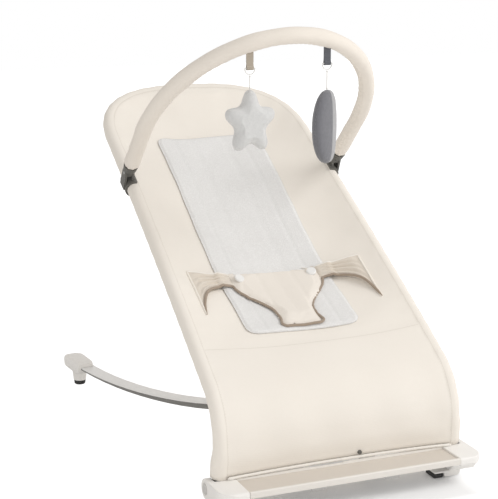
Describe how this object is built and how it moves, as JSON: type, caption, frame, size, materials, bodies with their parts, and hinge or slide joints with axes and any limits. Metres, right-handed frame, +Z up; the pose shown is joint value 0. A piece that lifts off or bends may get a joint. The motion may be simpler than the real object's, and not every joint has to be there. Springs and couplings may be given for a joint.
{
  "type": "baby bouncer",
  "caption": "Low baby bouncer: a cloth sling on a sprung tube hoop that folds on a flat floor base, with a padded toy bar and hanging soft toys.",
  "frame": {"origin": "On the floor, in the middle of the footprint", "axes": "+X to the right as seen from the foot end, +Y from the foot end to the head end, +Z up"},
  "size_m": [0.4862, 0.7158, 0.6526],
  "materials": {
    "charcoal_plastic": "matt moulded",
    "coated_steel": "smooth light grey coating",
    "cream_cotton": "woven cotton",
    "foot_rubber": "matt",
    "moulded_beige": "satin moulded",
    "moulded_light_grey": "satin moulded",
    "padded_cream": "padded woven sleeve",
    "pale_grey_plush": "short plush",
    "slate_plush": "short plush",
    "slate_webbing": "woven tape",
    "tan_webbing": "woven tape",
    "white_mesh": "soft air mesh",
    "white_plastic": "smooth",
    "white_thread": "twisted thread",
    "zinc_steel": "zinc plated"
  },
  "bodies": {
    "base": {"front_plate": "moulded_beige", "front_cross_bar": "zinc_steel", "rear_bow": "coated_steel", "left_hub": "moulded_light_grey", "left_fold_pin": "zinc_steel", "left_front_foot": "moulded_light_grey", "left_front_pad": "foot_rubber", "left_rail": "coated_steel", "left_rear_cap": "moulded_light_grey", "left_rear_pad": "foot_rubber", "right_hub": "moulded_light_grey", "right_fold_pin": "zinc_steel", "right_front_foot": "moulded_light_grey", "right_front_pad": "foot_rubber", "right_rail": "coated_steel", "right_rear_cap": "moulded_light_grey", "right_rear_pad": "foot_rubber"},
    "left_button": {"left_release_button": "moulded_light_grey", "left_button_spring": "zinc_steel"},
    "right_button": {"right_release_button": "moulded_light_grey", "right_button_spring": "zinc_steel"},
    "seat": {"seat_hoop": "coated_steel", "seat_sling": "cream_cotton", "seat_liner": "white_mesh", "waist_panel": "cream_cotton", "hem_piping": "cream_cotton", "hem_stud": "charcoal_plastic", "left_hoop_socket": "charcoal_plastic", "left_waist_strap": "cream_cotton", "left_waist_toggle": "white_plastic", "left_bar_clip": "charcoal_plastic", "left_bar_pin": "zinc_steel", "right_hoop_socket": "charcoal_plastic", "right_waist_strap": "cream_cotton", "right_waist_toggle": "white_plastic", "right_bar_clip": "charcoal_plastic", "right_bar_pin": "zinc_steel"},
    "toy_bar": {"toy_bar_tube": "zinc_steel", "toy_bar_sleeve": "padded_cream", "left_bar_socket": "charcoal_plastic", "right_bar_socket": "charcoal_plastic", "star_strap": "tan_webbing", "moon_strap": "slate_webbing"},
    "star_link": {"star_ring": "white_plastic"},
    "star": {"star_string": "white_thread", "star_toy": "pale_grey_plush"},
    "moon_link": {"moon_ring": "white_plastic"},
    "moon": {"moon_string": "white_thread", "moon_toy": "slate_plush"}
  },
  "joints": [
    {"name": "seat_fold", "type": "hinge", "parent": "base", "child": "seat", "pos_m": [0, -0.2875, 0.026], "axis": [1, 0, 0], "range_deg": [-33, 0]},
    {"name": "left_button_press", "type": "slide", "parent": "base", "child": "left_button", "axis": [1, 0, 0], "range_m": [0, 0.0025], "stiffness_N_per_m": 900, "springref_m": -0.001, "deforming": ["left_button_spring"]},
    {"name": "right_button_press", "type": "slide", "parent": "base", "child": "right_button", "axis": [-1, 0, 0], "range_m": [0, 0.0025], "stiffness_N_per_m": 900, "springref_m": -0.001, "deforming": ["right_button_spring"]},
    {"name": "toy_bar_turn", "type": "hinge", "parent": "seat", "child": "toy_bar", "pos_m": [0, 0.11491, 0.41033], "axis": [1, 0, 0], "range_deg": [-70, 25]},
    {"name": "star_ring_swing", "type": "hinge", "parent": "toy_bar", "child": "star_link", "pos_m": [-0.067, -0.11471, 0.59319], "axis": [1, 0, 0], "range_deg": [-60, 60]},
    {"name": "star_toy_sway", "type": "hinge", "parent": "star_link", "child": "star", "pos_m": [-0.067, -0.11471, 0.58274], "axis": [0, 1, 0], "range_deg": [-30, 30]},
    {"name": "moon_ring_swing", "type": "hinge", "parent": "toy_bar", "child": "moon_link", "pos_m": [0.056, -0.11816, 0.59648], "axis": [1, 0, 0], "range_deg": [-60, 60]},
    {"name": "moon_toy_sway", "type": "hinge", "parent": "moon_link", "child": "moon", "pos_m": [0.056, -0.11816, 0.58603], "axis": [0, 1, 0], "range_deg": [-30, 30]}
  ]
}
